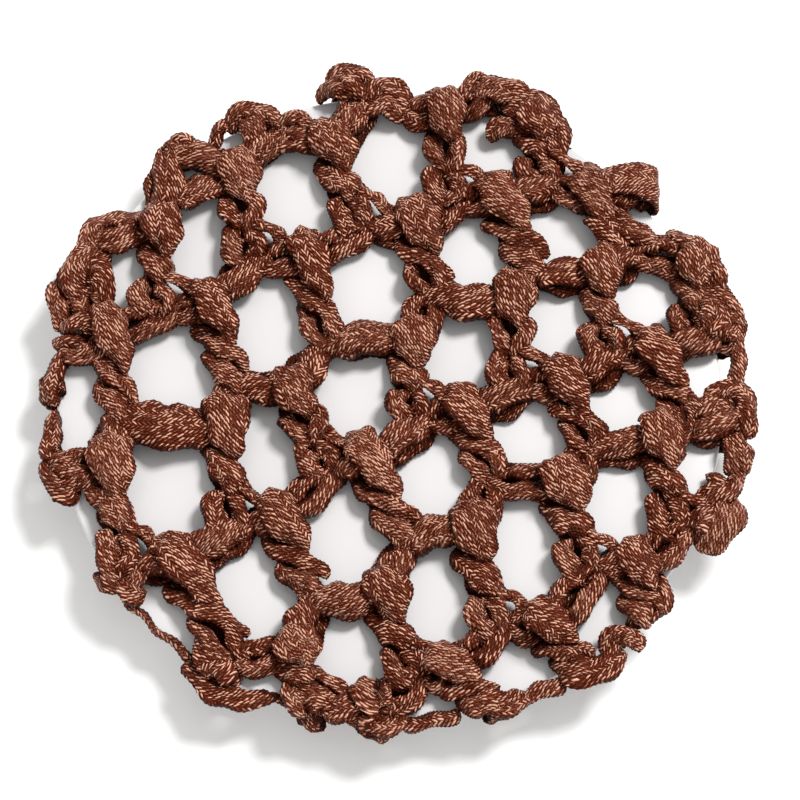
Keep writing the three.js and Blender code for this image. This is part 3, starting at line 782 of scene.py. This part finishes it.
# Tapes that lie singly along the edge of the net: points in hundredths of the disc's radius with the
# height above its face in millimetres, then the widths along the way, and "flat" if it isn't crumpled
edgeTapes = [
    # upper left
    ([(-70, 80, 0.8), (-70, 73, 1.8), (-68.5, 64, 1.8)], [1.6, 1.9, 2.2]),
    ([(-68, 79, 1.0), (-65, 82.5, 2.4), (-61.5, 80, 2.8), (-59.5, 75, 2.0)], [2.2, 3.0, 3.0, 2.6]),
    ([(-62.5, 78, 2.2), (-60, 80, 2.2), (-57.5, 81.5, 1.8)], [2.0, 1.5, 0.7]),
    ([(-54, 76, 0.8), (-54.5, 81, 1.4), (-52.5, 86.5, 2.0), (-48.5, 89, 2.0)], [1.9, 2.1, 2.1, 1.9]),
    ([(-50, 87, 1.6), (-45, 92, 2.6), (-38.5, 91.5, 3.0), (-34, 87, 2.2)], [2.4, 3.2, 3.2, 2.4]),
    ([(-43.5, 93, 1.4), (-42, 89.5, 3.2), (-41.5, 83.5, 3.4), (-43.5, 77, 2.0)], [3.0, 3.8, 3.8, 3.0]),
    ([(-36, 88, 2.2), (-31, 90.5, 3.0), (-26, 89, 2.8), (-23, 84, 1.8)], [1.8, 2.3, 2.3, 1.8]),
    ([(-37, 86, 1.8), (-32, 82.5, 2.4), (-26, 82.5, 2.6), (-22.5, 85, 2.0)], [2.0, 2.6, 2.6, 2.2]),
    ([(-74, 60, 1.2), (-66, 64.5, 2.6), (-57, 67, 2.8), (-49, 71, 1.8)], [2.6, 4.4, 4.6, 2.8]),
    # curled knot over the top
    ([(-16, 86, 1.8), (-15, 92, 2.2), (-13.5, 97, 1.8)], [3.0, 2.6, 3.0]),
    ([(-21.5, 96.5, 0.9), (-19.5, 100, 2.2), (-15.5, 100.5, 3.4), (-12, 97, 2.6)], [1.2, 3.0, 4.0, 3.2]),
    ([(-18.5, 101, 1.4), (-14.5, 105, 2.6), (-9.5, 104, 2.8), (-6.5, 99.5, 1.8)], [2.6, 3.4, 3.6, 2.8]),
    ([(-15, 103.5, 3.0), (-11, 101, 3.8), (-9, 96.5, 2.6)], [2.6, 3.4, 2.8]),
    ([(-9.5, 93, 1.4), (-6.5, 98, 2.8), (-2.5, 101, 3.0), (2.5, 98, 2.8), (7.5, 93.5, 1.8)],
     [2.2, 3.4, 3.6, 4.0, 3.4]),
    ([(-12, 90, 1.4), (-7, 94, 2.2), (-1, 95.5, 2.0), (5, 92, 1.4)], [2.4, 2.6, 2.6, 2.4]),
    ([(7, 90, 1.6), (11, 92.5, 2.4), (15, 95, 1.8)], [3.0, 3.4, 3.0]),
    # arch at the upper right
    ([(19.5, 95, 1.6), (23, 101.5, 2.2), (27.3, 104, 2.4), (31, 102.5, 2.6)], [1.8, 1.9, 1.9, 1.8]),
    ([(24.5, 97.5, 1.6), (29, 100, 3.0), (35, 99.5, 3.4), (41, 96, 3.0), (46, 91, 2.0)],
     [2.6, 3.8, 4.2, 3.8, 3.2]),
    ([(37, 99, 2.2), (45, 95.5, 3.2), (50, 88, 3.4), (51, 80, 3.0), (48.5, 72, 1.8)],
     [2.8, 4.0, 4.2, 3.8, 3.2]),
    ([(30, 84, 1.6), (33, 86.5, 2.6), (38, 88, 2.4), (43, 85.5, 2.0), (47, 81, 1.6)],
     [1.6, 3.2, 3.2, 3.0, 2.8]),
    ([(51, 85.5, 2.2), (55.5, 81, 1.6)], [0.7, 0.4]),
    # flat tape bent over the rim at the right, and the knots below it
    ([(60, 68, 2.2), (66, 68.8, 3.4), (72, 69.3, 3.8), (77, 69, 3.6), (80.5, 68, 2.6), (81.3, 67, 0.4),
      (79.5, 66, -1.6)],
     [3.6, 4.2, 4.8, 5.4, 5.8, 5.8, 5.4], "flat"),
    ([(57.5, 74, 1.2), (59.5, 71, 3.4), (62, 66.5, 4.2), (65, 61.5, 3.8), (68, 57, 2.2)],
     [3.6, 5.4, 6.0, 5.0, 3.2]),
    ([(61.5, 60, 1.8), (63.5, 56, 3.0), (67, 51.5, 3.2), (71, 47, 2.0)], [2.8, 3.8, 3.8, 2.6]),
    ([(67.5, 60, 1.8), (71.5, 55, 2.8), (76.5, 50.8, 3.0), (83, 48, 2.2)], [2.6, 3.4, 3.4, 2.8]),
    ([(83.5, 52, 1.2), (88, 50.5, 2.6), (94, 46.5, 2.8)], [2.0, 3.2, 3.4]),
    ([(65, 60, 1.2), (70, 54, 1.4), (75, 49, 1.2)], [3.4, 4.2, 3.4]),
    ([(89, 46, 1.6), (94, 44, 3.4), (97, 38, 3.4), (96, 31, 2.0)], [3.2, 4.2, 4.2, 3.4]),
    ([(94, 35, 2.0), (98, 33, 2.8), (102, 28, 2.6), (104.5, 20, 1.6)], [2.8, 3.6, 3.8, 2.8]),
    ([(91, 30, 2.2), (96, 29, 3.6), (99, 23.5, 3.2), (97.5, 17.5, 1.8)], [3.2, 4.0, 4.0, 3.2]),
    ([(104.8, 26, 1.4), (104.6, 12, 1.2), (104.4, -2, 1.6)], [2.6, 2.5, 2.6]),
    ([(97, -5, 0.8), (102, -6, 1.0), (106, -8, 0.8)], [3.0, 4.4, 3.0]),
    ([(95, -2, 2.2), (101.5, 1.5, 3.4), (106.5, -2, 3.0), (107.5, -8, 2.4), (105.5, -13, 1.0)],
     [2.4, 3.0, 3.2, 3.2, 2.6]),
    ([(87, -6, 2.0), (93, -4, 3.2), (99, -3, 3.0), (103, -8, 1.8)], [2.8, 3.4, 3.4, 2.6]),
    ([(89, -11, 1.6), (95, -12, 2.6), (101, -9.5, 2.2)], [2.6, 3.0, 2.6]),
    ([(104, -12, 1.4), (104, -19, 3.0), (104.5, -26, 1.6)], [3.2, 4.4, 3.6]),
    ([(95.5, -24, 1.4), (98, -29, 2.4), (101, -33, 2.2)], [1.8, 2.4, 2.6]),
    ([(104, -24, 1.4), (103, -29, 2.4), (97, -32, 3.0), (91, -35, 2.0)], [2.4, 2.8, 3.4, 2.8]),
    ([(102.3, -32, 1.4), (99.6, -39.3, 3.0), (95.5, -45, 2.4), (92, -48.3, 0.8)], [4.4, 6.0, 5.6, 3.4]),
    # knots down the left side
    ([(-86, 53.5, 1.6), (-89.5, 54, 2.6), (-90.5, 49.5, 2.4), (-88.5, 44.5, 1.4)], [3.4, 4.0, 4.0, 3.4]),
    ([(-90, 50, 2.2), (-83, 50, 3.0), (-76, 53, 2.4)], [3.0, 4.0, 3.2]),
    ([(-84.5, 46, 1.2), (-89.5, 45, 2.8), (-94.5, 41.5, 3.4), (-95.5, 35, 2.8), (-92, 29, 1.4)],
     [3.0, 4.2, 4.4, 4.2, 3.2]),
    ([(-93, 36, 2.4), (-89, 40, 3.6), (-86.5, 36, 3.2), (-87.5, 30.5, 2.2), (-88.5, 27, 1.2)],
     [2.6, 3.8, 4.0, 3.4, 2.6]),
    ([(-95.5, 39, 0.6), (-99.5, 34.5, 1.6), (-99.5, 27.5, 1.8), (-97, 22, 1.0)], [2.6, 3.4, 3.4, 2.8]),
    ([(-99.5, 21, 1.2), (-95.5, 23.5, 2.8), (-90.5, 23, 3.0), (-87, 19, 1.8)], [2.4, 3.4, 3.6, 2.8]),
    ([(-101.5, 17, 1.2), (-96.5, 17.5, 1.8), (-91, 16, 1.6)], [2.4, 2.8, 2.6]),
    ([(-98.5, 16, 1.0), (-94, 13, 2.4), (-89.5, 14, 2.6), (-86.5, 18.5, 1.8)], [2.4, 3.6, 3.6, 2.8]),
    ([(-96, 14, 1.2), (-100.5, 8.5, 1.8), (-102, 2, 1.6), (-100.5, -3, 1.0)], [2.4, 2.8, 2.8, 1.6]),
    ([(-100, -4, 0.8), (-101, -11, 1.8), (-101, -17.5, 2.0), (-97, -21, 1.6)], [1.6, 2.7, 2.9, 2.4]),
    ([(-101, -20, 1.2), (-101.5, -26, 2.2), (-96.5, -31, 2.0), (-92, -30, 1.0)], [2.4, 3.0, 3.2, 2.4]),
    ([(-101.5, -22, 2.0), (-95.5, -24, 3.0), (-89.5, -25, 2.4)], [2.6, 3.4, 3.0]),
    ([(-102.5, -20.5, 1.6), (-96.5, -21, 2.6), (-91.5, -24.5, 2.2)], [2.4, 3.0, 2.6]),
    ([(-99.5, -3, -0.2), (-99.5, -10, -0.2), (-98.5, -18, -0.2)], [0.9, 0.8, 0.9]),
    ([(-78, -46, 2.2), (-82.5, -50.5, 2.8), (-83, -56.5, 2.4), (-79.5, -61.5, 1.2)], [2.8, 3.2, 3.2, 2.6]),
    ([(-80.5, -60, 1.4), (-77.5, -55, 2.8), (-73.5, -51, 2.4)], [3.6, 4.4, 4.0]),
    ([(-81, -57, 1.8), (-77, -62, 2.4), (-72, -63, 1.6)], [2.6, 3.4, 2.8]),
    # along the lower rim
    ([(-79, -62, 0.4), (-69, -72.5, 0.2), (-57, -82.5, 0.4)], [1.4, 1.1, 1.6]),
    ([(-59.5, -83, 0.8), (-53, -91.5, 1.2), (-45, -94.5, 1.0), (-34, -94, 0.1)], [2.8, 3.4, 3.4, 2.0]),
    ([(-37, -93, 0.2), (-25, -97, 0.4)], [1.3, 1.3]),
    ([(-56, -76, 1.6), (-53.5, -83, 2.8), (-48.5, -87, 1.8)], [3.0, 3.6, 3.0]),
    ([(-27, -89, 1.6), (-21, -94, 3.0), (-14, -96, 1.8)], [3.0, 4.0, 3.2]),
    ([(-14, -96, 1.2), (-7.5, -101.5, 2.4), (0, -103, 2.2), (5, -100.5, 1.2)], [2.8, 3.6, 3.6, 2.8]),
    ([(3, -102, 0.8), (12, -101.5, 0.8), (21, -99, 0.8)], [2.2, 2.2, 2.4]),
    ([(20, -95, 1.0), (27, -96.5, 2.6), (35, -97, 2.4), (41, -94, 1.2)], [2.6, 3.8, 3.8, 2.6]),
    ([(39, -94.5, 1.0), (45, -92.5, 1.6), (52, -89.5, 1.2)], [2.0, 2.6, 2.4]),
    ([(50, -86, 1.4), (57, -88.5, 2.8), (64.5, -85, 2.6), (69, -80, 1.4)], [3.0, 4.0, 4.0, 3.0]),
    ([(63, -82, 1.4), (66, -77, 2.6), (71, -76.5, 2.6), (74.5, -80, 1.4)], [2.2, 3.0, 3.0, 2.2]),
    ([(70, -72, 1.0), (75, -70, 2.2), (79, -65, 1.6)], [2.4, 3.0, 2.6]),
    ([(78.5, -56, 1.0), (81.3, -62, 2.0), (79.5, -69, 1.4)], [2.2, 2.8, 2.4]),
]


rim = {
    "leastReach": 1.9,    # how far past the disc a loop reaches at the least
    "loopWidths": [2.6, 3.0, 3.4, 3.8, 4.0],  # from the net out over the rim and in under it
    "innerWidths": [3.6, 4.0],                # from there to the elastic
    "tapeThick": 1.3,
    "cup": 0.45,
    "roll": 12,
    "flatCup": 0.2,
    "flatCrumple": 0.3,
    "gathers": 44,
    "gatherInside": 1.3,  # how far inside the elastic's outer edge they lie
    "gatherWidths": [2.6, 3.4, 3.4, 2.6],
    "gatherThick": 1.7,
}


def layRimLoops(piece):
    for turn, reach, share in rimWraps:
        angle = math.radians(turn)
        outward = Vector((math.cos(angle), math.sin(angle), 0))
        tangent = outward.cross(Vector((0, 0, 1)))
        outer = max(reach * discRadius, discRadius + rim["leastReach"])

        def at(radius, beside, height):
            return discCentre.xy.to_3d() + outward * radius + tangent * beside + Vector((0, 0, height))

        piece.lay([at(discRadius - 1.2, wobble(0.6), discTop + 1.0), at(discRadius + 0.3, 0, discTop + 0.9),
                   at(outer - 0.9, 0, discTop - 0.2), at(outer - 0.8, 0, discBase - 0.1),
                   at(discRadius - 0.8, 0, discBase - 1.0),
                   at((discRadius + bandRadius) / 2, wobble(0.8), discBase - 1.3),
                   at(bandRadius, 0, discBase - 1.6)],
                  [width * share for width in rim["loopWidths"]] + rim["innerWidths"], rim["tapeThick"],
                  cup=0.4, side=tangent)


def layEdgeTapes(piece):
    for places, widths, *manner in edgeTapes:
        flat = "flat" in manner
        piece.lay([chartPoint((x, y), height) for x, y, height in places], widths, rim["tapeThick"],
                  cup=rim["flatCup"] if flat else rim["cup"],
                  rolls=[0 if flat else wobble(rim["roll"]) for _ in places],
                  side=Vector((0, -1, 0)) if flat else None, crumple=rim["flatCrumple"] if flat else 1.0)


def layGathers(piece):
    count = rim["gathers"]
    radius = bandRadius - rim["gatherInside"]
    middle = (edgeLow.z + discBase) / 2
    for i in range(count):
        turns = [math.tau * (i + share) / count for share in (-0.15, 0.35, 0.75, 1.15)]
        route = [discCentre.xy.to_3d() + Vector(((radius + wobble(0.3)) * math.cos(t),
                                                 (radius + wobble(0.3)) * math.sin(t),
                                                 middle - 0.2 + wobble(0.15))) for t in turns]
        piece.lay(route, rim["gatherWidths"], rim["gatherThick"], cup=0.3, rolls=[wobble(20) for _ in route])


rimPiece = TapePiece("rim_and_gathers")
layRimLoops(rimPiece)
layEdgeTapes(rimPiece)
layGathers(rimPiece)
netPieces.append((rimPiece, "gathered_edge"))
print("rim ready")

hollows = Hollows(np.vstack([points for piece, node in netPieces for points in piece.points]))
for piece, node in netPieces:
    piece.finish([node], "yarn", yarn, hollows)
print("net ready")


# Elastic band: a soft flat ring with gathers

elastic = {
    "inside": 1.5,        # how far inside the band's outer edge its middle runs
    "halfThick": 1.0,
    "flatness": 1.45,     # how much wider than thick it is
    "gathers": 72,
    "gatherDepth": 0.14,
    "gatherRise": 0.3,    # how much of a gather's depth also goes up
    "segments": 288,
    "sides": 16,
}


def makeElastic():
    bpy.ops.object.select_all(action="DESELECT")
    height = bandHigh.z - bandLow.z
    middle = (bandRadius - elastic["inside"]) * mm
    bpy.ops.mesh.primitive_torus_add(
        location=(discCentre.x * mm, discCentre.y * mm, height / 2 * mm),
        major_radius=middle, minor_radius=elastic["halfThick"] * mm,
        major_segments=elastic["segments"], minor_segments=elastic["sides"])
    band = bpy.context.object
    band.name = "mouth_elastic"
    bpy.ops.object.transform_apply(location=True)
    for vertex in band.data.vertices:
        offset = Vector((vertex.co.x - discCentre.x * mm, vertex.co.y - discCentre.y * mm))
        turn = math.atan2(offset.y, offset.x)
        radial = offset.length - middle
        outward = offset.normalized()
        gather = elastic["gatherDepth"] * mm * math.sin(turn * elastic["gathers"])
        radius = middle + radial * elastic["flatness"] + gather
        vertex.co.x = discCentre.x * mm + outward.x * radius
        vertex.co.y = discCentre.y * mm + outward.y * radius
        vertex.co.z = max(0, vertex.co.z + elastic["gatherRise"] * gather)
    bpy.ops.object.shade_smooth()
    band.data.materials.append(elasticCloth)
    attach(band, "root")
    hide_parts("elastic_band")


makeElastic()
print("elastic ready")


# Floor, light and camera

studio = {
    "floorTint": (0.80, 0.80, 0.79),
    "floorGlow": 0.21,    # the floor is lit a little from inside, as a light table is
    "worldStrength": 0.66,
    "keyStrength": 3.25,
    "keySize": 0.28,
    "keyDistance": 0.9,
    "keyAzimuth": 42,     # degrees from +X towards +Y
    "keyElevation": 54,
    "viewElevation": 69,
    "viewDistance": 0.75,
    "pixelsPerMillimetre": 7.23,
    "pictureWidth": 800,
    "discPixelX": 389.4,
    "discPixelY": 400.6,
}


def makeFloor():
    bpy.ops.mesh.primitive_plane_add(size=6, location=(0, 0, 0))
    floor = bpy.context.object
    floor.name = "pale_floor"
    material, _, _, shader = newMaterial("pale floor")
    shader.inputs["Base Color"].default_value = (*studio["floorTint"], 1)
    shader.inputs["Roughness"].default_value = 0.9
    shader.inputs["Emission Color"].default_value = (1, 1, 0.99, 1)
    shader.inputs["Emission Strength"].default_value = studio["floorGlow"]
    floor.data.materials.append(material)


def makeLights():
    world = bpy.data.worlds.new("soft studio")
    bpy.context.scene.world = world
    world.use_nodes = True
    background = world.node_tree.nodes["Background"]
    background.inputs["Color"].default_value = (1, 1, 1, 1)
    background.inputs["Strength"].default_value = studio["worldStrength"]
    azimuth, elevation = math.radians(studio["keyAzimuth"]), math.radians(studio["keyElevation"])
    towards = Vector((math.cos(azimuth) * math.cos(elevation), math.sin(azimuth) * math.cos(elevation),
                      math.sin(elevation)))
    light = bpy.data.lights.new("key", "SUN")
    light.energy = studio["keyStrength"]
    light.angle = 2 * math.atan(studio["keySize"] / 2 / studio["keyDistance"])
    key = bpy.data.objects.new("key", light)
    key.location = towards * studio["keyDistance"]
    key.rotation_euler = towards.to_track_quat("Z", "Y").to_euler()
    bpy.context.collection.objects.link(key)


def makeCamera():
    data = bpy.data.cameras.new("camera")
    camera = bpy.data.objects.new("camera", data)
    bpy.context.collection.objects.link(camera)
    elevation = math.radians(studio["viewElevation"])
    back = Vector((0, -math.cos(elevation), math.sin(elevation)))
    cameraUp = Vector((0, math.sin(elevation), math.cos(elevation)))
    perPixel = mm / studio["pixelsPerMillimetre"]
    half = studio["pictureWidth"] / 2
    aim = Vector((discCentre.x, discCentre.y, discTop)) * mm
    aim += Vector((1, 0, 0)) * (half - studio["discPixelX"]) * perPixel
    aim += cameraUp * (studio["discPixelY"] - half) * perPixel
    data.sensor_width = 36
    data.lens = data.sensor_width * studio["viewDistance"] / (studio["pictureWidth"] * perPixel)
    data.clip_start, data.clip_end = 0.05, 20
    camera.location = aim + back * studio["viewDistance"]
    camera.rotation_euler = back.to_track_quat("Z", "Y").to_euler()
    bpy.context.scene.camera = camera


makeFloor()
makeLights()
makeCamera()
bpy.context.scene.view_settings.view_transform = "Standard"
print("studio ready")
